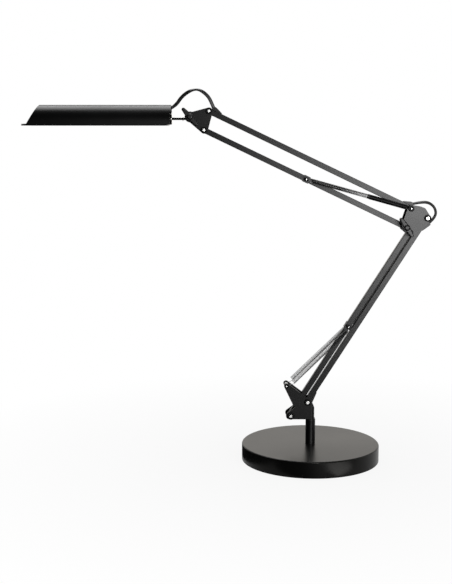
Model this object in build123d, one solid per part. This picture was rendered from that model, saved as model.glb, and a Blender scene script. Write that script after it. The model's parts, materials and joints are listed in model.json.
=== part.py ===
"""Architect desk lamp on a round base: two parallelogram arms, springs and a slanted tubular head.

Millimetres. +Z is up, the arms move in the XZ plane, the head points to -X, and the clamping knobs
face -Y. The origin is the centre of the base's underside. Every node is drawn in the rest pose.
"""
from build123d import *
from math import atan2, cos, degrees, hypot, pi, radians, sin, sqrt, tan
import os

os.makedirs("parts", exist_ok=True)

# ---------------------------------------------------------------- driving dimensions
# Base
base_diameter = 200.0
base_height = 24.0
base_edge_radius = 1.8
cover_wall = 1.5
cover_foot_gap = 0.4          # the cover's skirt hangs this far above the table
pad_thickness = 1.5
pad_rim_gap = 3.5             # from the cover's skirt to the foot pad
weight_rim_gap = 8.5          # from the cover's skirt to the cast weight
weight_clearance = 0.4

# Post and turret spindle
post_diameter = 14.2
post_top_z = 58.6
post_bore_diameter = 10.0
post_bore_depth = 27.0
spigot_diameter = 10.0
post_nut_across_flats = 17.0
post_nut_height = 6.0
nut_recess_clearance = 1.5
bush_flange_diameter = 14.2
bush_flange_thickness = 1.0
spindle_diameter = 8.0
spindle_collar_diameter = 13.0
spindle_flange_thickness = 3.0
spindle_end_gap = 1.0

# Fits
running_clearance = 0.05      # radial, at every hinge pin
open_pivot_clearance = 0.3    # radial, at the two pivots that close the linkages
side_gap = 0.2                # between a bar and its spacers
body_gap = 0.3                # between pieces that turn past each other

# Sheet brackets
sheet = 1.5                   # thickness of cheeks and plates
cheek_inside = 9.5            # from the centre plane to a cheek's inner face

# Arm linkages (angles are measured from +X towards +Z)
bar_size = 8.0
bar_wall = 1.0
bar_corner_radius = 0.7
plug_depth = 9.0
lower_arm_length = 315.5
lower_arm_angle = 57.92
shoulder_x = -5.1
shoulder_z = 87.0
shoulder_pair_spacing = 31.46
shoulder_pair_angle = 39.77
forearm_length = 316.9
forearm_angle = 154.5
elbow_offset_x = -23.7        # from the right lower bar's pivot to the upper forearm bar's pivot
elbow_offset_z = 13.6
forearm_pair_spacing = 27.3
forearm_pair_angle = 75.3

# Turret bracket outline
bracket_bottom_z = 61.6
nose_x = 5.1
nose_top_z = 79.8
nose_bend_radius = 5.0
shoulder_ear_radius = 4.8
lobe_radius = 5.4
lobe_reach = 1.8              # the outline passes this much further left round the left pivot
ear_x = -35.6
ear_z = 111.0
ear_radius = 3.8
waist_x = -24.1
waist_z = 82.9
brow_x = -16.0
brow_z = 98.3
bracket_blend_radius = 2.0

# Elbow plate outline
elbow_small_ear = 4.5
elbow_clamp_ear = 6.0
elbow_corner_radius = 5.5
elbow_corner_x = 16.3         # from the upper forearm pivot to the plate's free corner
elbow_corner_z = -3.8
elbow_heel_x = -9.5           # from the right lower bar's pivot to the plate's lower corner
elbow_heel_z = -13.6
elbow_heel_radius = 4.0

# Head bracket outline and tilt pivot
head_ear = 5.0
tilt_offset_x = -26.7
tilt_offset_z = -8.1
tilt_ear = 6.0
stem_drop = 2.3               # the stem's axis runs this far below the tilt pivot

# Fasteners
pivot_bolt_diameter = 5.0
pivot_head_diameter = 7.0
pivot_head_height = 2.4
pivot_nut_across_flats = 8.0
pivot_nut_height = 4.0
thread_end = 1.2              # thread standing past a nut
small_bolt_diameter = 4.0
small_head_diameter = 6.4
small_nut_across_flats = 7.0
small_nut_height = 3.2
rivet_head_height = 1.2
dome_share = 0.6              # of a head's height, rounded off its outer rim
spacer_wall = 1.5
narrow_spacer_wall = 1.2

# Wing knobs
knob_boss_diameter = 9.0
knob_length = 12.5
knob_span = 32.0
knob_tip_radius = 2.5
knob_wing_offset = 1.2        # each wing's tip lies beside the axis, on opposite sides
knob_wing_height = 8.5
knob_wing_root = 1.5          # from the boss's foot to its wings
knob_wing_rounding = 1.6
knob_thread_depth = 10.0
elbow_knob_angle = 118.6
head_knob_angle = 126.0

# Springs, their studs and clips
coil_diameter = 6.4
coil_wire = 1.2
coil_y = 8.6
coil_end_length = 14.0        # from an anchor to the first turn
hook_clearance = 0.3
stud_diameter = 2.6
stud_head_diameter = 4.0
stud_head_height = 1.2
stud_button_height = 1.0
lower_clip_distance = 155.0   # from the left bar's lower pivot
forearm_clip_distance = 156.8  # from the lower forearm bar's elbow pivot
clip_length = 9.0
clip_wall = 0.9
clip_pin_reach = 10.8

# Cable entries
cowl_length = 15.5
cowl_sill = 1.5               # from the bar to the mouth
cowl_mouth = 4.6              # across the slanted mouth
cowl_crown = 2.0
cowl_tail_height = 1.0
cowl_seat = 1.0               # how far the cowl follows the bar's rounded end
cowl_width = 6.4
cable_hole_diameter = 3.8
elbow_cowl_start = -2.5       # from the nearest pivot, along the bar
head_cowl_start = 2.2
top_cowl_start = 3.3
foot_cowl_start = -5.0
mouth_angle = 41.0            # between the bar and the cable that leaves the cowl
foot_mouth_angle = 62.0
foot_cowl_length = 23.0
top_mouth_angle = 20.0

# Head
shade_width = 46.0
shade_wall = 1.2
shade_above_axis = 19.2
shade_below_axis = 8.5
shade_start = 26.6            # from the tilt pivot to the shade's upper rear edge
shade_step = 1.5              # the lower half of the rear edge stands back by this
shade_step_above_axis = 8.5
shade_crown_length = 185.2
shade_foot_length = 201.7
rim_thickness = 1.2
rim_lip = 9.9                # rounded lip ahead of the shade's slanted end
rim_border = 3.4
cap_setback = 4.0
cap_thickness = 1.5
reflector_wall = 0.8
reflector_gap = 1.2
reflector_end_gap = 6.0
reflector_start = 30.0        # behind the rear cap
block_radius = 7.6
stem_diameter = 4.0
stem_washer_diameter = 6.6
stem_washer_thickness = 1.0
stem_washer_offset = 9.5
stem_head_diameter = 8.0
stem_head_thickness = 1.8
collar_diameter = 16.5
collar_thickness = 5.0
gland_diameter = 6.0
gland_above_axis = 14.0
gland_out = 3.7
gland_in = 4.0
holder_block_length = 20.0
holder_block_width = 30.0
holder_height = 13.6
holder_neck_length = 14.5
holder_neck_near = 14.0
holder_neck_far = 8.0
lamp_cap_length = 15.0
lamp_cap_width = 26.0
lamp_cap_height = 12.6
lamp_tube_diameter = 12.0
lamp_tube_spacing = 13.4
lamp_tube_length = 122.0
lamp_bridge_diameter = 8.0
lamp_above_axis = 0.8
screw_diameter = 2.6
screw_head_diameter = 4.6
screw_head_height = 1.0
screw_depth = 8.0
screw_side = 11.3             # both screws stand beside the swivel collar
screw_rise = 4.0              # above and below the stem's axis
rocker_width = 8.0
rocker_height = 11.0
rocker_y = 14.0
rocker_above_axis = 0.6
rocker_depth = 4.5
rocker_proud = 1.0
rocker_swing_room = 1.2
rocker_pin_diameter = 1.6
switch_wall = 1.2
switch_depth = 11.0

# Cords
cord_diameter = 3.6
arc_share = 0.45              # of the shorter run beside a corner, taken up by its arc

# ---------------------------------------------------------------- derived places
base_radius = base_diameter / 2
bolt_r = pivot_bolt_diameter / 2
small_r = small_bolt_diameter / 2
cheek_outside = cheek_inside + sheet


def along(point, length, angle):
    """The point at a length and an angle from another, in the XZ plane."""
    return (point[0] + length * cos(radians(angle)), point[1] + length * sin(radians(angle)))


def shifted(point, dx, dz):
    """A point moved in the XZ plane."""
    return (point[0] + dx, point[1] + dz)


lower_right_foot = (shoulder_x, shoulder_z)
lower_left_foot = along(lower_right_foot, -shoulder_pair_spacing, shoulder_pair_angle)
lower_right_top = along(lower_right_foot, lower_arm_length, lower_arm_angle)
lower_left_top = along(lower_left_foot, lower_arm_length, lower_arm_angle)
upper_elbow = shifted(lower_right_top, elbow_offset_x, elbow_offset_z)
clamp_elbow = along(upper_elbow, -forearm_pair_spacing, forearm_pair_angle)
upper_head = along(upper_elbow, forearm_length, forearm_angle)
lower_head = along(clamp_elbow, forearm_length, forearm_angle)
tilt = shifted(upper_head, tilt_offset_x, tilt_offset_z)
axis_z = tilt[1] - stem_drop
lower_clip = along(lower_left_foot, lower_clip_distance, lower_arm_angle)
forearm_clip = along(clamp_elbow, forearm_clip_distance, forearm_angle)
ear = (ear_x, ear_z)

shade_rear = tilt[0] - shade_start
shade_low_rear = shade_rear - shade_step
shade_crown_z = axis_z + shade_above_axis
shade_foot_z = axis_z - shade_below_axis
shade_arc_z = shade_crown_z - shade_width / 2
cap_face = shade_rear - cap_setback
cap_back = cap_face - cap_thickness
crown_tip = shade_rear - shade_crown_length
foot_tip = shade_rear - shade_foot_length


# ---------------------------------------------------------------- helpers
def write(name, *solids):
    """Export one node as a STEP file holding its solids."""
    flat = []
    for item in solids:
        flat.extend(item.solids())
    shape = flat[0] if len(flat) == 1 else Compound(children=flat)
    export_step(shape, f"parts/{name}.step")


def hull(*circles):
    """Face in the XY plane round circles given as ((x, y), radius)."""
    edges = []
    for (x, y), radius in circles:
        edges.extend((Pos(x, y) * Circle(radius)).edges())
    return make_hull(edges)


def cross(face, y_low, y_high):
    """Extrude an outline drawn as (x, z) between two values of y."""
    solid = extrude(face, y_high - y_low)
    return Pos(0, y_high, 0) * Rot(90, 0, 0) * solid


def pin(point, radius, y_low, y_high):
    """Cylinder along Y at an (x, z) point."""
    length = y_high - y_low
    return Pos(point[0], (y_low + y_high) / 2, point[1]) * Rot(90, 0, 0) * Cylinder(radius, length)


def shaft(y, z, radius, x_low, x_high):
    """Cylinder along X."""
    length = x_high - x_low
    return Pos((x_low + x_high) / 2, y, z) * Rot(0, 90, 0) * Cylinder(radius, length)


def column(radius, z_low, z_high, x=0.0):
    """Cylinder along Z."""
    return Pos(x, 0, (z_low + z_high) / 2) * Cylinder(radius, z_high - z_low)


def block(x_low, x_high, y_low, y_high, z_low, z_high):
    """Box between its low and high corners."""
    centre = Pos((x_low + x_high) / 2, (y_low + y_high) / 2, (z_low + z_high) / 2)
    return centre * Box(x_high - x_low, y_high - y_low, z_high - z_low)


def domed_pin(point, radius, y_low, y_high, outward):
    """Cylinder along Y whose outer face, at the low (-1) or high (1) end, has a rounded rim."""
    rounding = min(dome_share * (y_high - y_low), dome_share * radius)
    solid = pin(point, radius, y_low, y_high)
    face_y = y_low if outward < 0 else y_high
    rim = [e for e in solid.edges() if abs(e.center().Y - face_y) < (y_high - y_low) / 4]
    rim = [e for e in rim if e.geom_type == GeomType.CIRCLE]
    return fillet(rim, rounding)


def hex_nut(point, across_flats, height, hole, y_low):
    """Hexagonal nut along Y."""
    outline = RegularPolygon(across_flats / 2, 6, major_radius=False) - Circle(hole)
    return Pos(point[0], y_low + height, point[1]) * Rot(90, 0, 0) * extrude(outline, height)


def bolt(point, radius, head_diameter, head_height, nut_height):
    """Round-headed bolt through both cheeks, its head at the front."""
    end = cheek_outside + nut_height + thread_end
    head = domed_pin(point, head_diameter / 2, -cheek_outside - head_height, -cheek_outside, -1)
    return head + pin(point, radius, -cheek_outside, end)


def spacers(point, hole, wall):
    """The pair of sleeves that centre a bar between its cheeks."""
    inner = bar_size / 2 + side_gap
    sleeve_front = pin(point, hole + wall, -cheek_inside, -inner) - pin(point, hole, -cheek_inside, -inner)
    sleeve_rear = pin(point, hole + wall, inner, cheek_inside) - pin(point, hole, inner, cheek_inside)
    return [sleeve_front, sleeve_rear]


def plates(outline, holes):
    """Front and rear cheek of one outline, with holes given as ((x, z), radius)."""
    for point, radius in holes:
        outline = outline - Pos(*point) * Circle(radius)
    return cross(outline, -cheek_outside, -cheek_inside), cross(outline, cheek_inside, cheek_outside)


# ---------------------------------------------------------------- base
def make_base():
    top_inside = base_height - cover_wall
    spigot_r = spigot_diameter / 2
    cover = column(base_radius, cover_foot_gap, base_height)
    top_edges = cover.edges().filter_by(GeomType.CIRCLE).sort_by(Axis.Z)[-1:]
    cover = fillet(top_edges, base_edge_radius)
    cover -= column(base_radius - cover_wall, cover_foot_gap, top_inside)
    cover -= column(spigot_r, top_inside, base_height)
    write("base_cover", cover)

    recess_r = post_nut_across_flats / sqrt(3) + nut_recess_clearance
    nut_top = pad_thickness + post_nut_height
    skirt_r = base_radius - cover_wall
    weight = column(skirt_r - weight_rim_gap, pad_thickness, top_inside)
    weight -= column(spigot_r + weight_clearance, nut_top, top_inside)
    weight -= column(recess_r, pad_thickness, nut_top)
    write("base_weight", weight)
    write("base_pad", column(skirt_r - pad_rim_gap, 0, pad_thickness))

    nut = extrude(RegularPolygon(post_nut_across_flats / 2, 6, major_radius=False)
                  - Circle(spigot_r), post_nut_height)
    write("post_nut", Pos(0, 0, pad_thickness) * nut)

    bore_floor = post_top_z - post_bore_depth
    post = column(post_diameter / 2, base_height, post_top_z)
    post += column(spigot_r, pad_thickness, base_height)
    post -= column(post_bore_diameter / 2, bore_floor, post_top_z)
    write("post", post)

    bush_r = spindle_diameter / 2 + running_clearance
    flange_top = post_top_z + bush_flange_thickness
    bush = column(post_bore_diameter / 2, bore_floor, post_top_z)
    bush += column(bush_flange_diameter / 2, post_top_z, flange_top)
    bush -= column(bush_r, bore_floor, flange_top)
    write("post_bush", bush)


# ---------------------------------------------------------------- turret
def bracket_plan(inset):
    """Plan of the folded sheet's outer (inset 0) or inner face, open towards -X."""
    far = base_radius
    half = cheek_outside - inset
    right = nose_x - inset
    plan = Pos((right - far) / 2, 0) * Rectangle(right + far, 2 * half)
    corners = plan.vertices().sort_by(Axis.X)[-2:]
    return fillet(corners, nose_bend_radius - inset)


def make_turret():
    collar_bottom = post_top_z + bush_flange_thickness + body_gap
    spindle_end = post_top_z - post_bore_depth + spindle_end_gap
    flange = extrude(bracket_plan(sheet), spindle_flange_thickness)
    flange &= block(-2 * cheek_inside, nose_x, -cheek_inside, cheek_inside,
                    0, spindle_flange_thickness)
    spindle = column(spindle_diameter / 2, spindle_end, collar_bottom)
    spindle += column(spindle_collar_diameter / 2, collar_bottom, bracket_bottom_z)
    spindle += Pos(0, 0, bracket_bottom_z) * flange
    flange_top = bracket_bottom_z + spindle_flange_thickness
    spindle -= pin(lower_left_foot, bar_size / 2 + 2 * side_gap + spacer_wall,
                   -cheek_inside, cheek_inside) & column(base_radius, bracket_bottom_z, flange_top)
    write("spindle", spindle)

    nose = hull((shifted(lower_left_foot, -lobe_reach / 2, 0), lobe_radius),
                (lower_right_foot, shoulder_ear_radius))
    corner = bracket_blend_radius
    lobe = shifted(lower_left_foot, -lobe_reach, 0)
    plinth = hull((lobe, lobe[1] - bracket_bottom_z),
                  ((nose_x - corner, bracket_bottom_z + corner), corner),
                  ((nose_x - corner, nose_top_z - corner), corner),
                  (lower_right_foot, shoulder_ear_radius))
    horn = hull((ear, ear_radius), ((waist_x, waist_z), corner), ((brow_x, brow_z), corner),
                (lower_right_foot, shoulder_ear_radius))
    outline = nose + plinth + horn
    for point, radius in ((lower_left_foot, bolt_r), (lower_right_foot, bolt_r),
                          (ear, stud_diameter / 2)):
        outline = outline - Pos(*point) * Circle(radius)
    top = ear_z + ear_radius + corner
    fold = extrude(bracket_plan(0) - bracket_plan(sheet), top)
    bracket = cross(outline, -cheek_outside, cheek_outside) & fold
    write("turret_bracket", bracket)

    write("shoulder_bolts", *[bolt(p, bolt_r, pivot_head_diameter, pivot_head_height, pivot_nut_height)
                              for p in (lower_right_foot, lower_left_foot)])
    write("shoulder_nuts", *[hex_nut(p, pivot_nut_across_flats, pivot_nut_height, bolt_r, cheek_outside)
                             for p in (lower_right_foot, lower_left_foot)])
    write("shoulder_spacers", *spacers(lower_right_foot, bolt_r, spacer_wall),
          *spacers(lower_left_foot, bolt_r, spacer_wall))
    write("ear_studs", *make_studs())


def make_studs():
    """Riveted studs that stand inwards from the bracket's ears and carry the lower springs."""
    neck_end = coil_y - coil_wire / 2 - hook_clearance
    button_end = neck_end - stud_button_height
    front = domed_pin(ear, stud_head_diameter / 2, -cheek_outside - stud_head_height, -cheek_outside, -1)
    front += pin(ear, stud_diameter / 2, -cheek_outside, -neck_end)
    front += pin(ear, stud_head_diameter / 2, -neck_end, -button_end)
    return front, mirror(front, Plane.XZ)


# ---------------------------------------------------------------- bars
def bar_place(start, angle):
    """Location that lays local +X along a bar; local -Z is the side that carries cowls."""
    return Pos(start[0], 0, start[1]) * Rot(0, -angle, 0)


def stadium(length):
    """Side outline of a bar between two pivots, drawn as (along, up)."""
    return hull(((0, 0), bar_size / 2), ((length, 0), bar_size / 2))


def make_bar(length, hole_start, hole_end, cables, pin_hole):
    """Square tube with rounded ends, in its local frame, and its two end plugs."""
    inner = bar_size - 2 * bar_wall
    body = cross(stadium(length), -bar_size / 2, bar_size / 2)
    long_edges = body.edges().filter_by(GeomType.LINE).filter_by(Axis.X)
    body = fillet(long_edges, bar_corner_radius)
    bore = Pos(length / 2, 0, 0) * Box(length + 2 * bar_size, inner, inner)
    ends = [Pos(x, 0, 0) * Box(2 * plug_depth, inner, inner) for x in (0, length)]
    plugs = [cross(stadium(length), -inner / 2, inner / 2) & end for end in ends]
    tube = body - bore
    cuts = [pin((0, 0), hole_start, -bar_size, bar_size),
            pin((length, 0), hole_end, -bar_size, bar_size), *cables]
    for cut in cuts:
        tube -= cut
        plugs = [plug - cut for plug in plugs]
    if pin_hole is not None:
        tube -= pin((pin_hole, 0), stud_diameter / 2, -bar_size, bar_size)
    return tube, plugs


def make_cowl(start, angle, length, at_far_end, cowl_reach=cowl_length):
    """Cable entry on a bar's local -Z face: the cowl, and the channel that the cable runs in."""
    top = bar_size / 2
    sill = (start, -top - cowl_sill)
    brow = (start + cowl_mouth * sin(radians(angle)), sill[1] - cowl_mouth * cos(radians(angle)))
    tail = (start + cowl_reach, -top - cowl_tail_height)
    outline = Polyline((start, cowl_seat - top), sill, brow, (brow[0] + cowl_crown, brow[1]), tail,
                       (tail[0], cowl_seat - top), close=True)
    cowl = cross(make_face(outline), -cowl_width / 2, cowl_width / 2)
    across = cowl.edges().filter_by(Axis.Y).sort_by(Axis.Z)
    cowl = fillet(across[1:2] + across[3:4], cowl_tail_height / 2)
    cowl -= cross(stadium(length), -top, top)
    mouth = ((sill[0] + brow[0]) / 2, (sill[1] + brow[1]) / 2)
    channel = Pos(mouth[0], 0, mouth[1]) * Rot(0, -angle, 0) * shaft(
        0, 0, cable_hole_diameter / 2, -cable_hole_diameter, plug_depth + cowl_length / 2)
    if at_far_end:
        flip = Pos(length, 0, 0) * Rot(0, 0, 180)
        cowl, channel = flip * cowl, flip * channel
    return cowl - channel, channel


def make_clip(distance):
    """Collar round a bar, in the bar's local frame, and the cross pin that carries the springs."""
    outside = bar_size / 2 + clip_wall
    collar = Pos(distance, 0, 0) * Box(clip_length, 2 * outside, 2 * outside)
    collar -= Pos(distance, 0, 0) * Box(clip_length, bar_size, bar_size)
    collar = fillet(collar.edges().filter_by(Axis.X).group_by(lambda e: round(abs(e.center().Y), 3))[-1],
                    clip_wall / 2)
    pin_at = (distance, 0)
    collar -= pin(pin_at, stud_diameter / 2, -bar_size, bar_size)
    head_low = clip_pin_reach - stud_button_height
    cross_pin = pin(pin_at, stud_diameter / 2, -head_low, head_low)
    cross_pin += domed_pin(pin_at, stud_head_diameter / 2, -clip_pin_reach, -head_low, -1)
    cross_pin += domed_pin(pin_at, stud_head_diameter / 2, head_low, clip_pin_reach, 1)
    return collar, cross_pin


def make_spring(start, end, y, start_post, end_post):
    """Stretched spring between two posts: a tube for the coil, a rod and a ring at each end."""
    length = hypot(end[0] - start[0], end[1] - start[1])
    angle = degrees(atan2(end[1] - start[1], end[0] - start[0]))
    outer = coil_diameter / 2
    wire = coil_wire / 2
    coil_length = length - 2 * coil_end_length
    coil = shaft(0, 0, outer, coil_end_length, coil_end_length + coil_length)
    coil -= shaft(0, 0, outer - coil_wire, coil_end_length + coil_wire,
                  coil_end_length + coil_length - coil_wire)
    for x, post, inward in ((0, start_post, 1), (length, end_post, -1)):
        ring_r = post + hook_clearance + wire
        ring = pin((x, 0), ring_r + wire, -wire, wire) - pin((x, 0), ring_r - wire, -wire, wire)
        reach = (x + inward * ring_r, x + inward * (coil_end_length + coil_wire / 2))
        coil += ring + shaft(0, 0, wire, min(reach), max(reach))
    return Pos(0, y, 0) * bar_place(start, angle) * coil


def make_lower_arm():
    place_right = bar_place(lower_right_foot, lower_arm_angle)
    place_left = bar_place(lower_left_foot, lower_arm_angle)
    length = lower_arm_length
    hinge = bolt_r + running_clearance
    foot_cowl, foot_channel = make_cowl(foot_cowl_start, foot_mouth_angle, length, False,
                                       foot_cowl_length)
    top_cowl, top_channel = make_cowl(top_cowl_start, top_mouth_angle, length, True)
    bar, plugs = make_bar(length, hinge, hinge, [foot_channel, top_channel], None)
    write("lower_right_bar", place_right * bar)
    write("lower_right_plugs", *[place_right * plug for plug in plugs])
    write("lower_cable_cowls", place_right * foot_cowl, place_right * top_cowl)

    bar, plugs = make_bar(length, hinge, small_r + open_pivot_clearance, [], lower_clip_distance)
    write("lower_left_bar", place_left * bar)
    write("lower_left_plugs", *[place_left * plug for plug in plugs])
    collar, cross_pin = make_clip(lower_clip_distance)
    write("lower_spring_clip", place_left * collar)
    write("lower_clip_pin", place_left * cross_pin)
    post = stud_diameter / 2
    for name, side in (("front", -1), ("rear", 1)):
        write(f"lower_spring_{name}", make_spring(ear, lower_clip, side * coil_y, post, post))


# ---------------------------------------------------------------- elbow
def make_elbow():
    free_corner = shifted(upper_elbow, elbow_corner_x, elbow_corner_z)
    heel = shifted(lower_right_top, elbow_heel_x, elbow_heel_z)
    outline = hull((upper_elbow, elbow_small_ear), (free_corner, elbow_corner_radius),
                   (lower_right_top, elbow_small_ear), (heel, elbow_heel_radius),
                   (lower_left_top, elbow_small_ear), (clamp_elbow, elbow_clamp_ear))
    holes = [(lower_right_top, bolt_r), (upper_elbow, small_r), (clamp_elbow, small_r),
             (lower_left_top, small_r)]
    front, rear = plates(outline, holes)
    write("elbow_plate_front", front)
    write("elbow_plate_rear", rear)
    write("elbow_nuts",
          hex_nut(lower_right_top, pivot_nut_across_flats, pivot_nut_height, bolt_r, cheek_outside),
          hex_nut(upper_elbow, small_nut_across_flats, small_nut_height, small_r, cheek_outside))
    rivet = pin(lower_left_top, small_r, -cheek_outside, cheek_outside)
    for side in (-1, 1):
        low, high = sorted((side * cheek_outside, side * (cheek_outside + rivet_head_height)))
        rivet += domed_pin(lower_left_top, small_r + spacer_wall, low, high, side)
    write("elbow_bolts",
          bolt(lower_right_top, bolt_r, pivot_head_diameter, pivot_head_height, pivot_nut_height),
          bolt(upper_elbow, small_r, small_head_diameter, pivot_head_height, small_nut_height), rivet)
    sleeves = [*spacers(lower_right_top, bolt_r, spacer_wall), *spacers(clamp_elbow, small_r, spacer_wall),
               *spacers(upper_elbow, small_r, narrow_spacer_wall),
               *spacers(lower_left_top, small_r, spacer_wall)]
    write("elbow_spacers", *sleeves)
    write("elbow_clamp_bolt", clamp_bolt(clamp_elbow))
    write("elbow_wing_knob", wing_knob(clamp_elbow, elbow_knob_angle))


def clamp_bolt(point):
    """Bolt whose round head sits at the rear and whose thread reaches into a wing knob."""
    thread = cheek_outside + body_gap + knob_thread_depth - thread_end
    head = domed_pin(point, small_head_diameter / 2, cheek_outside, cheek_outside + pivot_head_height, 1)
    return head + pin(point, small_r, -thread, cheek_outside)


def wing_knob(point, angle):
    """Moulded wing knob in front of a cheek: a boss and two wings that narrow towards their tips."""
    foot = -cheek_outside - body_gap
    boss = domed_pin((0, 0), knob_boss_diameter / 2, foot - knob_length, foot, -1)
    root = foot - knob_wing_root
    reach = knob_span / 2 - knob_tip_radius
    outline = hull(((0, 0), knob_boss_diameter / 2), ((reach, knob_wing_offset), knob_tip_radius))
    wing = cross(outline, root - knob_wing_height, root)
    wing = fillet(wing.faces().sort_by(Axis.Y)[0].edges(), knob_wing_rounding)
    knob = boss + wing + Rot(0, 180, 0) * wing
    knob -= pin((0, 0), small_r + running_clearance, foot - knob_thread_depth, foot)
    return Pos(point[0], 0, point[1]) * Rot(0, -angle, 0) * knob


# ---------------------------------------------------------------- forearm
def make_forearm():
    place_upper = bar_place(upper_elbow, forearm_angle)
    place_lower = bar_place(clamp_elbow, forearm_angle)
    length = forearm_length
    elbow_cowl, elbow_channel = make_cowl(elbow_cowl_start, mouth_angle, length, False)
    head_cowl, head_channel = make_cowl(head_cowl_start, mouth_angle, length, True)
    bar, plugs = make_bar(length, small_r + running_clearance, bolt_r + running_clearance,
                          [elbow_channel, head_channel], None)
    write("forearm_upper_bar", place_upper * bar)
    write("forearm_upper_plugs", *[place_upper * plug for plug in plugs])
    write("forearm_cable_cowls", place_upper * elbow_cowl, place_upper * head_cowl)

    bar, plugs = make_bar(length, small_r + running_clearance, bolt_r + open_pivot_clearance, [],
                          forearm_clip_distance)
    write("forearm_lower_bar", place_lower * bar)
    write("forearm_lower_plugs", *[place_lower * plug for plug in plugs])
    collar, cross_pin = make_clip(forearm_clip_distance)
    write("forearm_spring_clip", place_lower * collar)
    write("forearm_clip_pin", place_lower * cross_pin)
    for name, side in (("front", -1), ("rear", 1)):
        spring = make_spring(upper_elbow, forearm_clip, side * coil_y, small_r + narrow_spacer_wall,
                             stud_diameter / 2)
        write(f"forearm_spring_{name}", spring)


# ---------------------------------------------------------------- head bracket and stem
def make_head_bracket():
    outline = hull((upper_head, head_ear), (lower_head, head_ear), (tilt, tilt_ear))
    front, rear = plates(outline, [(upper_head, bolt_r), (lower_head, bolt_r), (tilt, small_r)])
    write("head_plate_front", front)
    write("head_plate_rear", rear)
    pivots = (upper_head, lower_head)
    write("head_bolts", *[bolt(p, bolt_r, pivot_head_diameter, pivot_head_height, pivot_nut_height)
                          for p in pivots])
    write("head_nuts", *[hex_nut(p, pivot_nut_across_flats, pivot_nut_height, bolt_r, cheek_outside)
                         for p in pivots])
    write("head_spacers", *spacers(upper_head, bolt_r, spacer_wall),
          *spacers(lower_head, bolt_r, spacer_wall))
    write("tilt_bolt", clamp_bolt(tilt))
    write("head_wing_knob", wing_knob(tilt, head_knob_angle))


def make_stem():
    half = cheek_inside - body_gap
    stem_r = stem_diameter / 2
    stem_start = tilt[0] - block_radius / 2
    knuckle = pin(tilt, block_radius, -half, half) - pin(tilt, small_r + running_clearance, -half, half)
    knuckle -= shaft(0, axis_z, stem_r, tilt[0] - 2 * block_radius, stem_start)
    write("pivot_block", knuckle)
    head_face = cap_back - body_gap
    rod = shaft(0, axis_z, stem_r, head_face, stem_start)
    rod += shaft(0, axis_z, stem_head_diameter / 2, head_face - stem_head_thickness, head_face)
    washer_x = tilt[0] - stem_washer_offset
    rod += shaft(0, axis_z, stem_washer_diameter / 2, washer_x - stem_washer_thickness, washer_x)
    write("stem_rod", rod)
    collar_low = cap_face + body_gap
    collar = shaft(0, axis_z, collar_diameter / 2, collar_low, collar_low + collar_thickness)
    rims = collar.edges().filter_by(GeomType.CIRCLE).sort_by(Axis.X)[-1:]
    collar = fillet(rims, stem_washer_thickness)
    collar -= shaft(0, axis_z, stem_r, collar_low, collar_low + collar_thickness)
    write("swivel_collar", collar)


# ---------------------------------------------------------------- head
def arch_face(inset):
    """Arched section of the head, drawn as (y, z), set in from the shade's outer face."""
    radius = shade_width / 2 - inset
    arch = Pos(0, shade_arc_z) * Circle(radius)
    arch -= Pos(0, shade_arc_z - radius / 2) * Rectangle(2 * radius, radius)
    leg = shade_arc_z - shade_foot_z
    return arch + Pos(0, shade_arc_z - leg / 2) * Rectangle(2 * radius, leg)


def lengthwise(face, x_low, x_high):
    """Extrude a section drawn as (y, z) between two values of x."""
    solid = extrude(face, x_high - x_low)
    return Pos(x_low, 0, 0) * Rot(0, 0, 90) * Rot(90, 0, 0) * solid


def slant_cut(setback):
    """Everything ahead of the slanted front end, moved back along the shade by a setback."""
    far = base_diameter
    slope = (foot_tip - crown_tip) / (shade_foot_z - shade_crown_z)
    top_z = shade_crown_z + far
    low_z = shade_foot_z - far
    top_x = crown_tip + setback + slope * far
    low_x = foot_tip + setback - slope * far
    wedge = make_face(Polyline((top_x, top_z), (low_x, low_z), (low_x - far, low_z),
                               (low_x - far, top_z), close=True))
    return cross(wedge, -shade_width, shade_width)


def make_shade():
    shell = lengthwise(arch_face(0) - arch_face(shade_wall), foot_tip - rim_lip, shade_rear)
    shell -= slant_cut(0)
    shell -= block(shade_low_rear, shade_rear, -shade_width, shade_width,
                   shade_foot_z, axis_z + shade_step_above_axis)
    write("shade", shell)

    rim_low = shade_foot_z - rim_thickness
    half = shade_width / 2
    nose_r = (half ** 2 + rim_lip ** 2) / (2 * rim_lip)
    plan = Pos((foot_tip + cap_face) / 2, 0) * Rectangle(cap_face - foot_tip, shade_width)
    lip = Pos(foot_tip - rim_lip + nose_r, 0) * Circle(nose_r)
    lip &= Pos(foot_tip - rim_lip / 2, 0) * Rectangle(rim_lip, shade_width)
    opening_low = foot_tip + rim_border
    opening_high = cap_back - rim_border
    opening = Pos((opening_low + opening_high) / 2, 0) * Rectangle(opening_high - opening_low,
                                                                  shade_width - 2 * rim_border)
    opening = fillet(opening.vertices(), rim_border)
    rim = extrude(plan + lip - opening, rim_thickness)
    write("shade_rim", Pos(0, 0, rim_low) * rim)

    outer_inset = shade_wall + reflector_gap
    section = arch_face(outer_inset) - arch_face(outer_inset + reflector_wall)
    mirror_shell = lengthwise(section, foot_tip - rim_lip, cap_face - reflector_start)
    mirror_shell -= slant_cut(reflector_end_gap)
    write("reflector", mirror_shell)


def screw_heights():
    """Heights of the two screws that hold the lampholder to the end cap."""
    return (axis_z - screw_rise, axis_z + screw_rise)


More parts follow.
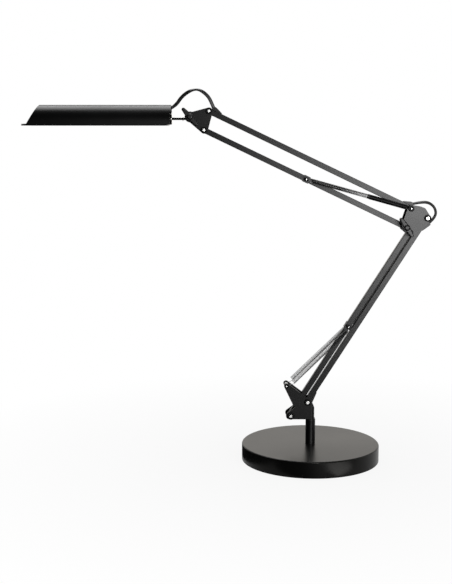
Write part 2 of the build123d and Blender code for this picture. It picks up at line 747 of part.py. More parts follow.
def make_end_cap():
    face = arch_face(shade_wall)
    face -= Pos(0, axis_z) * Circle(stem_diameter / 2 + running_clearance)
    face -= Pos(0, axis_z + gland_above_axis) * Circle(gland_diameter / 2)
    face -= Pos(rocker_y, axis_z + rocker_above_axis) * Rectangle(
        rocker_width + 2 * switch_wall, rocker_height + 2 * switch_wall)
    for z in screw_heights():
        face -= Pos(-screw_side, z) * Circle(screw_diameter / 2)
    write("end_cap", lengthwise(face, cap_back, cap_face))

    screws = []
    for z in screw_heights():
        screw = shaft(-screw_side, z, screw_diameter / 2, cap_back - screw_depth, cap_face)
        head = shaft(-screw_side, z, screw_head_diameter / 2, cap_face, cap_face + screw_head_height)
        screws.append(screw + head)
    write("end_cap_screws", *screws)

    z = axis_z + gland_above_axis
    gland = shaft(0, z, gland_diameter / 2, cap_back - gland_in, cap_face + gland_out)
    write("cord_gland", gland)


def make_switch():
    z = axis_z + rocker_above_axis
    frame_y = rocker_width / 2 + switch_wall
    frame_z = rocker_height / 2 + switch_wall
    housing = block(cap_back - switch_depth, cap_face, rocker_y - frame_y, rocker_y + frame_y,
                    z - frame_z, z + frame_z)
    pocket_y = rocker_width / 2 + body_gap
    pocket_z = rocker_height / 2 + body_gap
    pocket_floor = cap_face - rocker_depth - rocker_swing_room
    housing -= block(pocket_floor, cap_face, rocker_y - pocket_y, rocker_y + pocket_y,
                     z - pocket_z, z + pocket_z)
    pin_x = cap_face - rocker_depth / 2
    pin_r = rocker_pin_diameter / 2
    hinge = Pos(pin_x, rocker_y, z) * Rot(90, 0, 0) * Cylinder(pin_r, 2 * frame_y)
    housing += hinge
    housing &= lengthwise(arch_face(shade_wall), cap_back - switch_depth, cap_face)
    write("switch_housing", housing)

    rocker = block(cap_face - rocker_depth, cap_face + rocker_proud, rocker_y - rocker_width / 2,
                   rocker_y + rocker_width / 2, z - rocker_height / 2, z + rocker_height / 2)
    outer_edges = rocker.edges().filter_by(Axis.Y).sort_by(Axis.X)
    rocker = fillet(outer_edges[-2:], rocker_proud / 2)
    rocker = chamfer(rocker.edges().filter_by(Axis.Y).sort_by(Axis.X)[:2], rocker_depth / 3)
    hole = Pos(pin_x, rocker_y, z) * Rot(90, 0, 0) * Cylinder(pin_r + running_clearance, 2 * frame_y)
    write("switch_rocker", rocker - hole)


def make_lamp():
    z = axis_z + lamp_above_axis
    neck_low = cap_back - holder_neck_length
    half_z = holder_height / 2
    holder = block(neck_low - holder_block_length, neck_low, -holder_block_width / 2,
                   holder_block_width / 2, z - half_z, z + half_z)
    holder += block(neck_low, cap_back, -holder_neck_near, holder_neck_far, z - half_z, z + half_z)
    head_room = cap_back - 2 * stem_head_thickness - body_gap
    holder -= shaft(0, axis_z, stem_head_diameter / 2 + body_gap, head_room, cap_back)
    for screw_z in screw_heights():
        holder -= shaft(-screw_side, screw_z, screw_diameter / 2, cap_back - screw_depth, cap_back)
    write("lampholder", holder)

    cap_high = neck_low - holder_block_length
    cap_low = cap_high - lamp_cap_length
    cap = block(cap_low, cap_high, -lamp_cap_width / 2, lamp_cap_width / 2,
                z - lamp_cap_height / 2, z + lamp_cap_height / 2)
    cap = fillet(cap.edges().filter_by(Axis.X), lamp_cap_height / 4)
    write("lamp_cap", cap)

    tube_r = lamp_tube_diameter / 2
    tip = cap_low - lamp_tube_length
    glass = None
    for y in (-lamp_tube_spacing / 2, lamp_tube_spacing / 2):
        tube = shaft(y, z, tube_r, tip, cap_low)
        tube = fillet(tube.edges().filter_by(GeomType.CIRCLE).sort_by(Axis.X)[:1], tube_r / 2)
        glass = tube if glass is None else glass + tube
    bridge_x = tip + lamp_bridge_diameter
    glass += pin((bridge_x, z), lamp_bridge_diameter / 2, -lamp_tube_spacing / 2, lamp_tube_spacing / 2)
    write("lamp_tubes", glass)


# ---------------------------------------------------------------- cords
# Hand-chosen route points (x, y, z) of the two visible loops of flex.
head_cord_points = [
    (-199.8, 0.0, 508.3), (-193.5, 0.0, 512.8), (-186.4, -1.0, 523.8), (-174.5, -2.5, 532.9),
    (-161.1, -3.0, 534.9), (-149.1, -2.0, 526.0), (-143.9, -0.8, 516.5), (-141.0, -0.2, 509.6),
]
elbow_cord_points = [
    (142.9, 0.0, 374.2), (152.0, -0.5, 376.2), (164.9, -1.2, 376.5), (175.0, -1.6, 368.2),
    (176.0, -1.2, 355.4), (166.8, -0.4, 347.2),
]


def make_cord(name, points):
    """Round tube of straight runs joined by the largest tangent arcs that the runs allow."""
    corners = [Vector(*p) for p in points]
    radii = []
    for before, at, after in zip(corners, corners[1:], corners[2:]):
        first, second = at - before, after - at
        shorter = min(first.length, second.length)
        radii.append(arc_share * shorter / tan(radians(first.get_angle(second)) / 2))
    path = FilletPolyline(*corners, radius=radii)
    section = Plane(origin=path @ 0, z_dir=path % 0) * Circle(cord_diameter / 2)
    tube = sweep(section, path=path)
    expected = path.length * pi * (cord_diameter / 2) ** 2
    print(name, "radii", [round(r, 1) for r in radii], "length", round(path.length, 1),
          "volume", round(tube.volume, 1), "of", round(expected, 1))
    write(name, tube)


make_base()
make_turret()
make_lower_arm()
make_elbow()
make_forearm()
make_head_bracket()
make_stem()
make_shade()
make_end_cap()
make_switch()
make_lamp()
make_cord("head_cord", head_cord_points)
make_cord("elbow_cord", elbow_cord_points)
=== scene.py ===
"""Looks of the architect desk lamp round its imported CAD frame. Metres; +Z is up and the head points to -X."""

import json
import math

import bmesh
import bpy
from mathutils import Matrix, Vector


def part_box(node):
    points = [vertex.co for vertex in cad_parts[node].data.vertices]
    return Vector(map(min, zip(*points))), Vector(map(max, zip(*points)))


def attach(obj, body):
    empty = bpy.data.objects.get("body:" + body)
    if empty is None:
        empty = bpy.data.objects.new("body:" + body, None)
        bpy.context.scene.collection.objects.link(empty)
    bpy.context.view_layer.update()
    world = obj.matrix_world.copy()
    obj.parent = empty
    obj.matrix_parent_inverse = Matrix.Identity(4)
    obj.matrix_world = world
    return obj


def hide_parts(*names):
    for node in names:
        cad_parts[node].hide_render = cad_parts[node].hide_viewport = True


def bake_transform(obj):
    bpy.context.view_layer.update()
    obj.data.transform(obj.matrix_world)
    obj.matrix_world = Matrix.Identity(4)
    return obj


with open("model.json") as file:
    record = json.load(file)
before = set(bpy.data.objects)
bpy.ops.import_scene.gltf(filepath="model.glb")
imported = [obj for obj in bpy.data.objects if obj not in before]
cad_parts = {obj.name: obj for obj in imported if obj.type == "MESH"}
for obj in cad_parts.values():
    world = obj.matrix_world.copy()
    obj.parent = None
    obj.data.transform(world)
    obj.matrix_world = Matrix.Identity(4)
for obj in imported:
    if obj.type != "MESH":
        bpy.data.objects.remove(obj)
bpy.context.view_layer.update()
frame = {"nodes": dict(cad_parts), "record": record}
nodes = frame["nodes"]
joints = {joint["name"]: joint for joint in frame["record"]["behaviour"]["joints"]}

Y = Vector((0, 1, 0))
UP = Vector((0, 0, 1))
WHITE = (1, 1, 1, 1)


def link(obj):
    bpy.context.collection.objects.link(obj)
    return obj


# ---------------------------------------------------------------- places read from the frame
def pivot(joint):
    """Where a joint's axis crosses the centre plane."""
    x, _, z = joints[joint]["pos_m"]
    return Vector((x, 0, z))


def middle(node):
    """A node's box centre, in the centre plane."""
    low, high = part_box(node)
    return Vector(((low.x + high.x) / 2, 0, (low.z + high.z) / 2))


def half_width(node):
    """Reach of a centred node to each side of the centre plane."""
    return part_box(node)[1].y


ear = middle("ear_studs")
lower_clip = middle("lower_clip_pin")
forearm_clip = middle("forearm_clip_pin")
left_foot = pivot("lower_link")
right_foot = pivot("lower_arm_lift")
elbow_right = pivot("elbow_level")
elbow_left = elbow_right + left_foot - right_foot
elbow_upper = pivot("forearm_lift")
elbow_clamp = pivot("elbow_knob_turn")
head_upper = pivot("head_level")
head_lower = elbow_clamp + head_upper - elbow_upper

# ---------------------------------------------------------------- camera
CAMERA_PLACE = (-0.1235, -1.6, 0.4763)
CAMERA_DOWN = 8.15            # degrees below the horizon
LENS = 69.17                  # millimetres, as is the sensor
SENSOR = 36

camera = link(bpy.data.objects.new("camera", bpy.data.cameras.new("camera")))
camera.location = CAMERA_PLACE
camera.rotation_euler = (math.radians(90 - CAMERA_DOWN), 0, 0)
camera.data.lens = LENS
camera.data.sensor_width = SENSOR
scene = bpy.context.scene
scene.camera = camera
scene.view_settings.view_transform = "Standard"

# ---------------------------------------------------------------- materials
NOISE_LOW, NOISE_HIGH = 0.3, 0.7    # nearly every value of a noise lies between these
SLOW_DETAIL = 4.0
FINE_DETAIL = 3.0
FINISH = {}


def shader(name, **sockets):
    """A material whose even values sit on the shader's own sockets."""
    material = bpy.data.materials.new(name)
    material.use_nodes = True
    principled = material.node_tree.nodes["Principled BSDF"]
    for socket, value in sockets.items():
        principled.inputs[socket.replace("_", " ")].default_value = value
    return material, principled


def noise(tree, scale, detail):
    """Noise in object space."""
    place = tree.nodes.new("ShaderNodeTexCoord")
    texture = tree.nodes.new("ShaderNodeTexNoise")
    texture.inputs["Scale"].default_value = scale
    texture.inputs["Detail"].default_value = detail
    tree.links.new(place.outputs["Object"], texture.inputs["Vector"])
    return texture.outputs["Fac"]


def spread(tree, source, low, high, socket):
    """Drive a socket between two values with a noise."""
    ramp = tree.nodes.new("ShaderNodeMapRange")
    ramp.inputs["From Min"].default_value = NOISE_LOW
    ramp.inputs["From Max"].default_value = NOISE_HIGH
    ramp.inputs["To Min"].default_value = low
    ramp.inputs["To Max"].default_value = high
    tree.links.new(source, ramp.inputs["Value"])
    tree.links.new(ramp.outputs["Result"], socket)


def tint(tree, source, dark, light, socket):
    """Drive a colour socket between two colours with a noise."""
    mix = tree.nodes.new("ShaderNodeMix")
    mix.data_type = "RGBA"
    mix.inputs["A"].default_value = (*dark, 1)
    mix.inputs["B"].default_value = (*light, 1)
    tree.links.new(source, mix.inputs["Factor"])
    tree.links.new(mix.outputs["Result"], socket)


def relief(tree, source, depth, socket):
    """Turn a noise into bumps."""
    bump = tree.nodes.new("ShaderNodeBump")
    bump.inputs["Distance"].default_value = depth
    tree.links.new(source, bump.inputs["Height"])
    tree.links.new(bump.outputs["Normal"], socket)


def surface(name, colour, rough, grain, depth, variation=0.2, patch=30.0, rough_spread=0.08, **sockets):
    """Finish with a fine grain in its relief, and slow changes of colour and roughness."""
    material, principled = shader(name, **sockets)
    tree = material.node_tree
    dark = [c * (1 - variation) for c in colour]
    light = [c * (1 + variation) for c in colour]
    slow = noise(tree, patch, SLOW_DETAIL)
    tint(tree, slow, dark, light, principled.inputs["Base Color"])
    fine = noise(tree, grain, FINE_DETAIL)
    spread(tree, slow, rough - rough_spread, rough + rough_spread, principled.inputs["Roughness"])
    relief(tree, fine, depth, principled.inputs["Normal"])
    FINISH[name] = material


BLACK = (0.0023, 0.0023, 0.0024)
GLOSSY_BLACK = (0.0065, 0.0065, 0.0068)
surface("black_enamel", BLACK, rough=0.34, grain=900, depth=10e-6, variation=0.12, patch=12.0,
        rough_spread=0.03, Specular_IOR_Level=0.15)
surface("base_enamel", (0.0030, 0.0029, 0.0027), rough=0.30, grain=700, depth=8e-6, variation=0.10, patch=8.0,
        rough_spread=0.02, Specular_IOR_Level=0.10, Specular_Tint=(1.0, 0.985, 0.95, 1))
surface("bright_zinc", (0.44, 0.44, 0.43), rough=0.38, grain=2500, depth=3e-6, variation=0.08,
        rough_spread=0.04, Metallic=1.0)
surface("chrome", (0.20, 0.20, 0.195), rough=0.14, grain=1500, depth=2e-6, variation=0.05,
        rough_spread=0.03, Metallic=1.0)
surface("spring_steel", (0.06, 0.06, 0.06), rough=0.35, grain=2500, depth=3e-6, variation=0.08,
        rough_spread=0.04, Metallic=1.0)
surface("black_plastic", BLACK, rough=0.40, grain=1600, depth=12e-6, variation=0.12,
        rough_spread=0.04, Specular_IOR_Level=0.18)
surface("matt_black", (0.0025, 0.0025, 0.0027), rough=0.45, grain=1600, depth=12e-6, variation=0.12,
        rough_spread=0.04, Specular_IOR_Level=0.05)
surface("gloss_black_plastic", GLOSSY_BLACK, rough=0.18, grain=500, depth=3e-6, variation=0.10,
        rough_spread=0.03, Specular_IOR_Level=0.3)
surface("nylon", GLOSSY_BLACK, rough=0.40, grain=900, depth=10e-6, variation=0.10,
        rough_spread=0.04, Specular_IOR_Level=0.2)
surface("white_plastic", (0.78, 0.78, 0.75), rough=0.35, grain=900, depth=8e-6, variation=0.04)
surface("lamp_glass", (0.86, 0.86, 0.84), rough=0.12, grain=300, depth=3e-6, variation=0.03,
        rough_spread=0.03, Coat_Weight=0.6, Coat_Roughness=0.04)
surface("reflector_white", (0.80, 0.80, 0.79), rough=0.22, grain=500, depth=8e-6, variation=0.03)
surface("iron", (0.15, 0.145, 0.14), rough=0.62, grain=350, depth=120e-6, variation=0.3)
surface("pad_foam", (0.03, 0.03, 0.03), rough=0.85, grain=2200, depth=80e-6, variation=0.3)
surface("cord_sheath", BLACK, rough=0.45, grain=900, depth=8e-6, variation=0.12,
        rough_spread=0.04, Specular_IOR_Level=0.18)

slot_of = {row["node"]: row["material_slot"] for row in frame["record"]["subparts"]}
for name, node in nodes.items():
    node.data.materials.clear()
    node.data.materials.append(FINISH[slot_of[name]])

# ---------------------------------------------------------------- mesh helpers
LATHE_CREASE = 35.0           # degrees; an edge sharper than this stays crisp
SWEEP_CREASE = 50.0


def piece(name, bm, body, slot, replaced=(), finish=None):
    """Link a finished mesh with its slot's finish or its own. It rides its body when it has one."""
    mesh = bpy.data.meshes.new(name)
    bm.to_mesh(mesh)
    bm.free()
    mesh.materials.append(FINISH[finish or slot])
    obj = link(bpy.data.objects.new(name, mesh))
    if replaced:
        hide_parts(*replaced)
    if body:
        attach(obj, body)
    return obj


def smooth(bm, crease):
    """Smooth faces, with edges sharper than the crease angle kept crisp."""
    bmesh.ops.recalc_face_normals(bm, faces=bm.faces)
    for face in bm.faces:
        face.smooth = True
    for edge in bm.edges:
        edge.smooth = edge.is_manifold and edge.calc_face_angle(0) < math.radians(crease)
    return bm


def circle(radius, sides):
    """Points of a regular outline round the origin."""
    return [(radius * math.cos(2 * math.pi * k / sides), radius * math.sin(2 * math.pi * k / sides))
            for k in range(sides)]


def lathe(profile, place, segments=48):
    """Turn (radius, height) points about the local Z axis of a placing matrix."""
    bm = bmesh.new()
    rings = []
    for radius, height in profile:
        if radius:
            rings.append([bm.verts.new((x, y, height)) for x, y in circle(radius, segments)])
        else:
            rings.append([bm.verts.new((0, 0, height))])
    for first, second in zip(rings, rings[1:]):
        for i in range(segments):
            j = (i + 1) % segments
            corners = [first[i % len(first)], first[j % len(first)],
                       second[j % len(second)], second[i % len(second)]]
            unique = list(dict.fromkeys(corners))
            if len(unique) > 2:
                bm.faces.new(unique)
    bmesh.ops.transform(bm, matrix=place, verts=bm.verts)
    return smooth(bm, LATHE_CREASE)


def facing_front(point, face):
    """Matrix whose local Z points to the front, from a face this far ahead of a point in the centre plane."""
    return Matrix.Translation((point.x, -face, point.z)) @ Matrix.Rotation(math.radians(90), 4, "X")


def normals(path, side):
    """Each point of a path with two normals, carried along without twist."""
    result = []
    for i, point in enumerate(path):
        tangent = (path[min(i + 1, len(path) - 1)] - path[max(i - 1, 0)]).normalized()
        side = (side - tangent * side.dot(tangent)).normalized()
        result.append((point, side, tangent.cross(side)))
    return result


def sweep(path, section, side=Y, twist=None):
    """Carry a closed section, given as (side, up) points, along a path; twist gives degrees for each share."""
    bm = bmesh.new()
    rings = []
    count = len(path) - 1
    for i, (point, across, up) in enumerate(normals(path, side)):
        turn = math.radians(twist(i / count)) if twist else 0.0
        c, s = math.cos(turn), math.sin(turn)
        rings.append([bm.verts.new(point + across * (u * c - v * s) + up * (u * s + v * c))
                      for u, v in section])
    sides = len(section)
    for first, second in zip(rings, rings[1:]):
        for k in range(sides):
            bm.faces.new((first[k], first[(k + 1) % sides], second[(k + 1) % sides], second[k]))
    bm.faces.new(rings[0])
    bm.faces.new(rings[-1])
    return smooth(bm, SWEEP_CREASE)


def between(stops, share):
    """Smooth reading of (share, value) stops."""
    for (s0, v0), (s1, v1) in zip(stops, stops[1:]):
        if share <= s1:
            t = max(0.0, (share - s0) / (s1 - s0))
            t = t * t * (3 - 2 * t)
            return v0 + (v1 - v0) * t
    return stops[-1][1]


# ---------------------------------------------------------------- cords
# Flat two-core flex. The routes are the cord nodes' own points, read as the control points of a NURBS spline.
CORD_WIDTH = 0.0050
CORD_THICKNESS = 0.0028
CORD_GROOVE = 0.00022         # depth, along the middle of each broad side
CORD_END_POINTS = 10          # on each rounded edge
ROUTE_ORDER = 3
ROUTE_RESOLUTION = 12
HEAD_ROUTE = (
    (-0.2019, 0.0, 0.5078), (-0.1935, 0.0, 0.5128), (-0.1864, -0.0010, 0.5238), (-0.1745, -0.0025, 0.5329),
    (-0.1611, -0.0030, 0.5349), (-0.1491, -0.0020, 0.5260), (-0.1439, -0.0008, 0.5165), (-0.1408, -0.0002, 0.5086),
)
ELBOW_ROUTE = (
    (0.1412, 0.0, 0.3738), (0.1520, -0.0005, 0.3762), (0.1649, -0.0012, 0.3765), (0.1747, -0.0016, 0.3682),
    (0.1758, -0.0012, 0.3554), (0.1655, -0.0004, 0.3462),
)
HEAD_TWIST = ((0, 40), (0.15, 88), (0.33, 85), (0.52, 8), (0.72, 70), (1, 80))    # (share of the run, degrees)
ELBOW_TWIST = ((0, 20), (0.3, 35), (0.6, 30), (1, 45))


def route_points(route):
    """Points of the NURBS spline whose control points are the route."""
    curve = bpy.data.curves.new("route", "CURVE")
    curve.dimensions = "3D"
    curve.resolution_u = ROUTE_RESOLUTION
    spline = curve.splines.new("NURBS")
    spline.points.add(len(route) - 1)
    for knot, place in zip(spline.points, route):
        knot.co = (*place, 1)
    spline.order_u = ROUTE_ORDER
    spline.use_endpoint_u = True
    holder = link(bpy.data.objects.new("route", curve))
    mesh = bpy.data.meshes.new_from_object(holder)
    points = [v.co.copy() for v in mesh.vertices]
    bpy.data.objects.remove(holder)
    bpy.data.curves.remove(curve)
    bpy.data.meshes.remove(mesh)
    return points


def flex_section():
    """Flat two-core flex: a rounded outline with a shallow groove along each broad side."""
    end_radius = CORD_THICKNESS / 2
    flat = CORD_WIDTH / 2 - end_radius
    section = []
    for sign in (1, -1):
        for k in range(CORD_END_POINTS):
            a = math.pi * (k / (CORD_END_POINTS - 1) - 0.5)
            section.append((sign * (flat + end_radius * math.cos(a)), sign * end_radius * math.sin(a)))
        section.append((0.0, sign * (end_radius - CORD_GROOVE)))
    return section


def flex(name, route, twist, node):
    """Loop of flex that stands for a cord node."""
    points = route_points(route)
    mesh = sweep(points, flex_section(), twist=lambda share: between(twist, share))
    obj = piece(name, mesh, None, "cord_sheath", (node,))
    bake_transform(obj)


flex("head_flex", HEAD_ROUTE, HEAD_TWIST, "head_cord")
flex("elbow_flex", ELBOW_ROUTE, ELBOW_TWIST, "elbow_cord")

# ---------------------------------------------------------------- springs
# Open coils held stretched, so daylight shows between their turns.
FRONT, REAR = -1, 1           # sides of the centre plane
COIL_WIRE = 0.00034           # radius
COIL_RADIUS = 0.0028          # to the wire's centre
COIL_PITCH = 0.0012
COIL_Y = 0.0086               # from the centre plane
COIL_STEPS = 16               # points in a turn
WIRE_SIDES = 5
STUD = 0.0013                 # radius of the studs and pins that the hooks go round
ELBOW_POST = 0.0032
HOOK_PLAY = 0.0002            # between a hook's wire and its post
HOOK_REACH, HOOK_STEP = 150, 15    # degrees to each side of a hook's middle, and between its points
FRONT_DROP, REAR_DROP = 0.0030, 0.0008    # the lower coils hang below the line between their hooks
LOWER_LEGS = (0.0105, 0.0068)    # from each post's centre to the coil
FOREARM_LEGS = (0.0120, 0.0090)
PAINTED_SHADE_SLEEVE = 0.056                # black tube over the elbow end of the forearm springs: painted shade, darkening the coils where they lie under the upper bar
PAINTED_SHADE_WALL = 0.0002
PAINTED_SHADE_START = -0.006         # before the first turn
PAINTED_SHADE_STEPS = 12
PAINTED_SHADE_SIDES = 20


def hook(centre, radius, inward, down):
    """Open loop of wire round a post, ending on the coil's side."""
    turns = [math.radians(a) for a in range(-HOOK_REACH, HOOK_REACH + 1, HOOK_STEP)]
    return [centre - inward * radius * math.cos(a) + down * radius * math.sin(a) for a in turns]


def spring(name, side, posts, radii, legs, drop, node, painted_shade_sleeve=0.0):
    """Stretched spring: a hook round each of two posts, and the coil, hung below the hooks' line by drop.

    radii are the posts', legs the distances from their centres to the coil.
    """
    y = side * COIL_Y
    begin, end = (Vector((post.x, y, post.z)) for post in posts)
    axis = (end - begin).normalized()
    down = axis.cross(Y)
    if down.z > 0:
        down = -down
    coil_from = begin + axis * legs[0] + down * drop
    coil_to = end - axis * legs[1] + down * drop
    span = (coil_to - coil_from).length
    run = (coil_to - coil_from).normalized()
    across = run.cross(down).normalized()
    turns = max(1, round(span / COIL_PITCH))
    coil = []
    for i in range(turns * COIL_STEPS + 1):
        a = 2 * math.pi * i / COIL_STEPS
        centre = coil_from + run * span * i / (turns * COIL_STEPS)
        coil.append(centre + (down * math.cos(a) + across * math.sin(a)) * COIL_RADIUS)
    first_hook = hook(begin, radii[0] + COIL_WIRE + HOOK_PLAY, axis, down)
    last_hook = hook(end, radii[1] + COIL_WIRE + HOOK_PLAY, -axis, down)
    wire = first_hook + coil + last_hook[::-1]
    obj = piece(name, sweep(wire, circle(COIL_WIRE, WIRE_SIDES)), None, "spring_steel", (node,))
    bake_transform(obj)
    # A matt black tube over the elbow end of the forearm coils is painted shade, darkening them where they lie under
    # the upper bar.
    if painted_shade_sleeve:
        cover = [coil_from + run * (painted_shade_sleeve * i / PAINTED_SHADE_STEPS + PAINTED_SHADE_START) for i in range(PAINTED_SHADE_STEPS + 1)]
        outline = circle(COIL_RADIUS + COIL_WIRE + PAINTED_SHADE_WALL, PAINTED_SHADE_SIDES)
        tube = piece(f"{name}_sleeve", sweep(cover, outline), None, "black_plastic", finish="matt_black")
        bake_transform(tube)


for side, word, drop in ((FRONT, "front", FRONT_DROP), (REAR, "rear", REAR_DROP)):
    spring(f"lower_{word}_coil", side, (ear, lower_clip), (STUD, STUD), LOWER_LEGS, drop,
           f"lower_spring_{word}")
    spring(f"forearm_{word}_coil", side, (elbow_upper, forearm_clip), (ELBOW_POST, STUD), FOREARM_LEGS, 0.0,
           f"forearm_spring_{word}", PAINTED_SHADE_SLEEVE)

# ---------------------------------------------------------------- dark strip between the lower bars: painted shade in the gap between them
STRIP_THICKNESS = 0.0009
STRIP_HALF_WIDTH = 0.003
STRIP_REACHES = (0.130, 0.220, 0.306)    # distances up the right bar

along = (elbow_right - right_foot).normalized()
inward = along.cross(Y)
if inward.x > 0:
    inward = -inward
off = half_width("lower_right_bar") + STRIP_THICKNESS / 2
strip_path = [right_foot + along * reach + inward * off for reach in STRIP_REACHES]
w, t = STRIP_HALF_WIDTH, STRIP_THICKNESS / 2
# The matt black strip is painted shade, filling the gap between the lower bars.
piece("gap_shade_strip", sweep(strip_path, [(-w, -t), (w, -t), (w, t), (-w, t)]), "lower_right", "black_plastic",
      finish="matt_black")

# ---------------------------------------------------------------- rolled edge of the shade's lip
LIP_REACH = 0.0099            # lip ahead of the shade's foot
BEAD = 0.0012                 # radius
BEAD_LIFT = 0.0002            # its centre above the rim's upper face
BEAD_STEPS = 20               # to each side of the nose
BEAD_SIDES = 12

rim_low, rim_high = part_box("shade_rim")
lip_half = (rim_high.y - rim_low.y) / 2
nose = (lip_half ** 2 + LIP_REACH ** 2) / (2 * LIP_REACH)    # radius of the lip's arc
swing = math.asin(lip_half / nose)
edge_path = []
for i in range(-BEAD_STEPS, BEAD_STEPS + 1):
    a = swing * i / BEAD_STEPS
    edge_path.append(Vector((rim_low.x + nose - (nose - BEAD) * math.cos(a), (nose - BEAD) * math.sin(a),
                             rim_high.z + BEAD_LIFT)))
piece("lip_bead", sweep(edge_path, circle(BEAD, BEAD_SIDES), side=UP), "head", "black_enamel")

# ---------------------------------------------------------------- cups round the fasteners
CUP_EDGE = 0.0006             # radius of the outer edge
CUP_EDGE_STEPS = 4
CUP_LIP = 0.0003              # thickness over the fastener's rim
CUP_WALL = 3 * CUP_LIP
PIN_BUTTON = 0.0010           # rounded end of a clip pin, ahead of its head
CHEEK_FACE = half_width("turret_bracket")
PIN_FACE = half_width("lower_clip_pin") - PIN_BUTTON
CUPS = (    # name, place, face that it stands on, radius, mouth's radius, height, body
    ("elbow_right_cup", elbow_right, CHEEK_FACE, 0.0048, 0.0021, 0.0028, "elbow"),
    ("elbow_upper_cup", elbow_upper, CHEEK_FACE, 0.0042, 0.0008, 0.0028, "elbow"),
    ("elbow_left_cap", elbow_left, CHEEK_FACE, 0.0040, 0.0, 0.0015, "elbow"),
    ("left_foot_cup", left_foot, CHEEK_FACE, 0.0053, 0.0021, 0.0028, "turret"),
    ("right_foot_cup", right_foot, CHEEK_FACE, 0.0046, 0.0023, 0.0028, "turret"),
    ("head_upper_cup", head_upper, CHEEK_FACE, 0.0045, 0.0019, 0.0028, "head_bracket"),
    ("head_lower_cup", head_lower, CHEEK_FACE, 0.0045, 0.0019, 0.0028, "head_bracket"),
    ("ear_cup", ear, CHEEK_FACE, 0.0030, 0.0011, 0.0016, "turret"),
    ("lower_clip_cup", lower_clip, PIN_FACE, 0.0026, 0.0008, 0.0024, "lower_left"),
    ("forearm_clip_cup", forearm_clip, PIN_FACE, 0.0026, 0.0008, 0.0024, "forearm_lower"),
)


def cup_profile(outer, mouth, height):
    """Pressed cup whose lip laps over a fastener's rim and leaves a round mouth, or a closed cap without one."""
    profile = [(outer, 0.0)]
    for i in range(CUP_EDGE_STEPS + 1):
        a = math.pi / 2 * i / CUP_EDGE_STEPS
        profile.append((outer - CUP_EDGE + CUP_EDGE * math.cos(a), height - CUP_EDGE + CUP_EDGE * math.sin(a)))
    if not mouth:
        return profile + [(0.0, height)]
    return profile + [(mouth + CUP_LIP, height), (mouth, height - CUP_LIP / 2), (mouth, height - CUP_LIP),
                      (outer - CUP_WALL, height - CUP_LIP), (outer - CUP_WALL, 0.0), (outer, 0.0)]


for name, at, face, outer, mouth, height, body in CUPS:
    cup = lathe(cup_profile(outer, mouth, height), facing_front(at, face))
    piece(name, cup, body, "black_plastic", finish="matt_black")

# ---------------------------------------------------------------- stage and light
AMBIENT = 0.38                # strength of the world's light; what is seen or mirrored of it is plain white
FLOOR_HALF = 6
FLOOR_GREY = 0.86
FADE_FROM, FADE_TO = 0.10, 0.60    # distances from the base's centre over which the floor turns to plain white
FADE_NEAR, FADE_FAR = 0.90, 1.0    # shares of plain white that are seen there


def seen_rays(tree):
    """1 for camera, glossy and transmission rays, 0 for the others."""
    path = tree.nodes.new("ShaderNodeLightPath")
    seen = path.outputs["Is Camera Ray"]
    for kind in ("Is Glossy Ray", "Is Transmission Ray"):
        either = tree.nodes.new("ShaderNodeMath")
        either.operation = "MAXIMUM"
        tree.links.new(seen, either.inputs[0])
        tree.links.new(path.outputs[kind], either.inputs[1])
        seen = either.outputs[0]
    return seen


def mixed(tree, share, first, second, target):
    """Feed a target with a mix of two shaders."""
    mix = tree.nodes.new("ShaderNodeMixShader")
    tree.links.new(share, mix.inputs["Fac"])
    tree.links.new(first.outputs[0], mix.inputs[1])
    tree.links.new(second.outputs[0], mix.inputs[2])
    tree.links.new(mix.outputs[0], target.inputs["Surface"])


def sheet(name, low, high, material):
    """Rectangle between two corners, flat along the axis on which they agree."""
    flat = next(axis for axis in range(3) if low[axis] == high[axis])
    a, b = (axis for axis in range(3) if axis != flat)
    corners = []
    for first, second in ((low, low), (high, low), (high, high), (low, high)):
        corner = list(low)
        corner[a], corner[b] = first[a], second[b]
        corners.append(corner)
    mesh = bpy.data.meshes.new(name)
    mesh.from_pydata(corners, [], [(0, 1, 2, 3)])
    mesh.materials.append(material)
    return link(bpy.data.objects.new(name, mesh))


def card(name, low, high, level, colour=WHITE):
    """Flag or glowing card that only glossy rays see."""
    material, _ = shader(name, Base_Color=(0, 0, 0, 1), Roughness=1.0, Specular_IOR_Level=0.0,
                         Emission_Color=colour, Emission_Strength=level)
    obj = sheet(name, low, high, material)
    obj.visible_camera = obj.visible_diffuse = obj.visible_shadow = obj.visible_transmission = False


def area(name, place, target, size, power, glossy=True, diffuse=True):
    """Rectangular light at a place, turned towards a target."""
    lamp = bpy.data.lights.new(name, "AREA")
    lamp.shape = "RECTANGLE"
    lamp.size, lamp.size_y = size
    lamp.energy = power
    obj = link(bpy.data.objects.new(name, lamp))
    obj.location = place
    obj.rotation_euler = (Vector(target) - Vector(place)).to_track_quat("-Z", "Y").to_euler()
    obj.visible_glossy = glossy
    obj.visible_diffuse = diffuse


world = bpy.data.worlds.new("studio")
scene.world = world
world.use_nodes = True
tree = world.node_tree
plain = tree.nodes["Background"]
plain.inputs["Color"].default_value = WHITE
plain.inputs["Strength"].default_value = AMBIENT
white = tree.nodes.new("ShaderNodeBackground")
white.inputs["Color"].default_value = WHITE
white.inputs["Strength"].default_value = 1.0
mixed(tree, seen_rays(tree), plain, white, tree.nodes["World Output"])

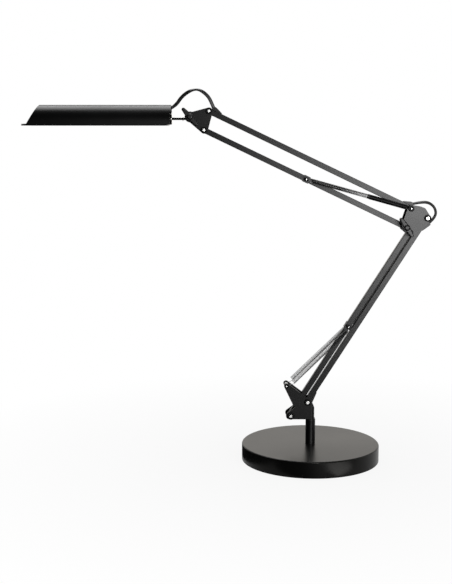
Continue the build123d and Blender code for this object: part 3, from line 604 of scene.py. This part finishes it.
paper, principled = shader("studio_floor", Base_Color=(FLOOR_GREY, FLOOR_GREY, FLOOR_GREY, 1), Roughness=0.9,
                           Specular_IOR_Level=0.0)
tree = paper.node_tree
place = tree.nodes.new("ShaderNodeTexCoord")
reach = tree.nodes.new("ShaderNodeVectorMath")
reach.operation = "LENGTH"
fade = tree.nodes.new("ShaderNodeMapRange")
fade.inputs["From Min"].default_value = FADE_FROM
fade.inputs["From Max"].default_value = FADE_TO
fade.inputs["To Min"].default_value = FADE_NEAR
fade.inputs["To Max"].default_value = FADE_FAR
share = tree.nodes.new("ShaderNodeMath")
share.operation = "MULTIPLY"
tree.links.new(place.outputs["Object"], reach.inputs[0])
tree.links.new(reach.outputs["Value"], fade.inputs["Value"])
tree.links.new(seen_rays(tree), share.inputs[0])
tree.links.new(fade.outputs["Result"], share.inputs[1])
mixed(tree, share.outputs[0], principled, tree.nodes.new("ShaderNodeEmission"), tree.nodes["Material Output"])
sheet("floor", (-FLOOR_HALF, -FLOOR_HALF, 0), (FLOOR_HALF, FLOOR_HALF, 0), paper)

# Dark flags keep the white room out of the black finishes. The two glows are what the base mirrors: one on its
# side and one behind, over its top.
DARK = 0.03
FLOOR_DARK = 0.02
GLOW = 5.5
BACK_GLOW = 1.7
WARM = (1.0, 0.96, 0.90, 1)
LEFT, RIGHT, NEAR, ROOF = -3, 3, -2.6, 3    # sides of the flagged room
LEFT_END = 1.5                # far edge of the left flag
REAR_END = 1.0                # far edge of the floor flag beside the base
BACK_GLOW_LOW, BACK_GLOW_HIGH = (-1.5, 1.8, 0.25), (1.5, 1.8, 0.9)
FOOT = 0.02                   # lower edge of the upright flags
SHEET = 0.0008                # height of the cards on the floor
BASE_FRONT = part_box("base_cover")[0].y
BASE_LEFT = -0.104            # the rear floor flag stops short of the base
GLOW_LEFT, GLOW_RIGHT, GLOW_FRONT = 0.036, 0.098, -0.165

card("front_flag", (LEFT, NEAR, FOOT), (RIGHT, NEAR, ROOF), DARK)
card("left_flag", (LEFT, NEAR, FOOT), (LEFT, LEFT_END, ROOF), DARK)
card("floor_flag_left", (LEFT, NEAR, SHEET), (GLOW_LEFT, BASE_FRONT, SHEET), FLOOR_DARK)
card("floor_flag_right", (GLOW_RIGHT, NEAR, SHEET), (RIGHT, BASE_FRONT, SHEET), FLOOR_DARK)
card("floor_flag_front", (GLOW_LEFT, NEAR, SHEET), (GLOW_RIGHT, GLOW_FRONT, SHEET), FLOOR_DARK)
card("floor_flag_rear", (LEFT, BASE_FRONT, SHEET), (BASE_LEFT, REAR_END, SHEET), FLOOR_DARK)
card("back_glow", BACK_GLOW_LOW, BACK_GLOW_HIGH, BACK_GLOW, WARM)
card("floor_glow", (GLOW_LEFT, GLOW_FRONT, SHEET), (GLOW_RIGHT, BASE_FRONT, SHEET), GLOW)
card("roof_flag", (LEFT, NEAR, ROOF), (RIGHT, BASE_FRONT, ROOF), DARK)

area("front_fill", place=(0.62, -1.5, 0.60), target=(0, 0, 0.30), size=(0.7, 0.7), power=7, glossy=False)
area("side_softbox", place=(0.54, -1.5, 0.36), target=(0.15, 0, 0.36), size=(0.7, 0.7), power=42, diffuse=False)
area("top_softbox", place=(-0.25, 0.36, 1.43), target=(-0.25, 0, 0.50), size=(1.3, 0.85), power=24, diffuse=False)
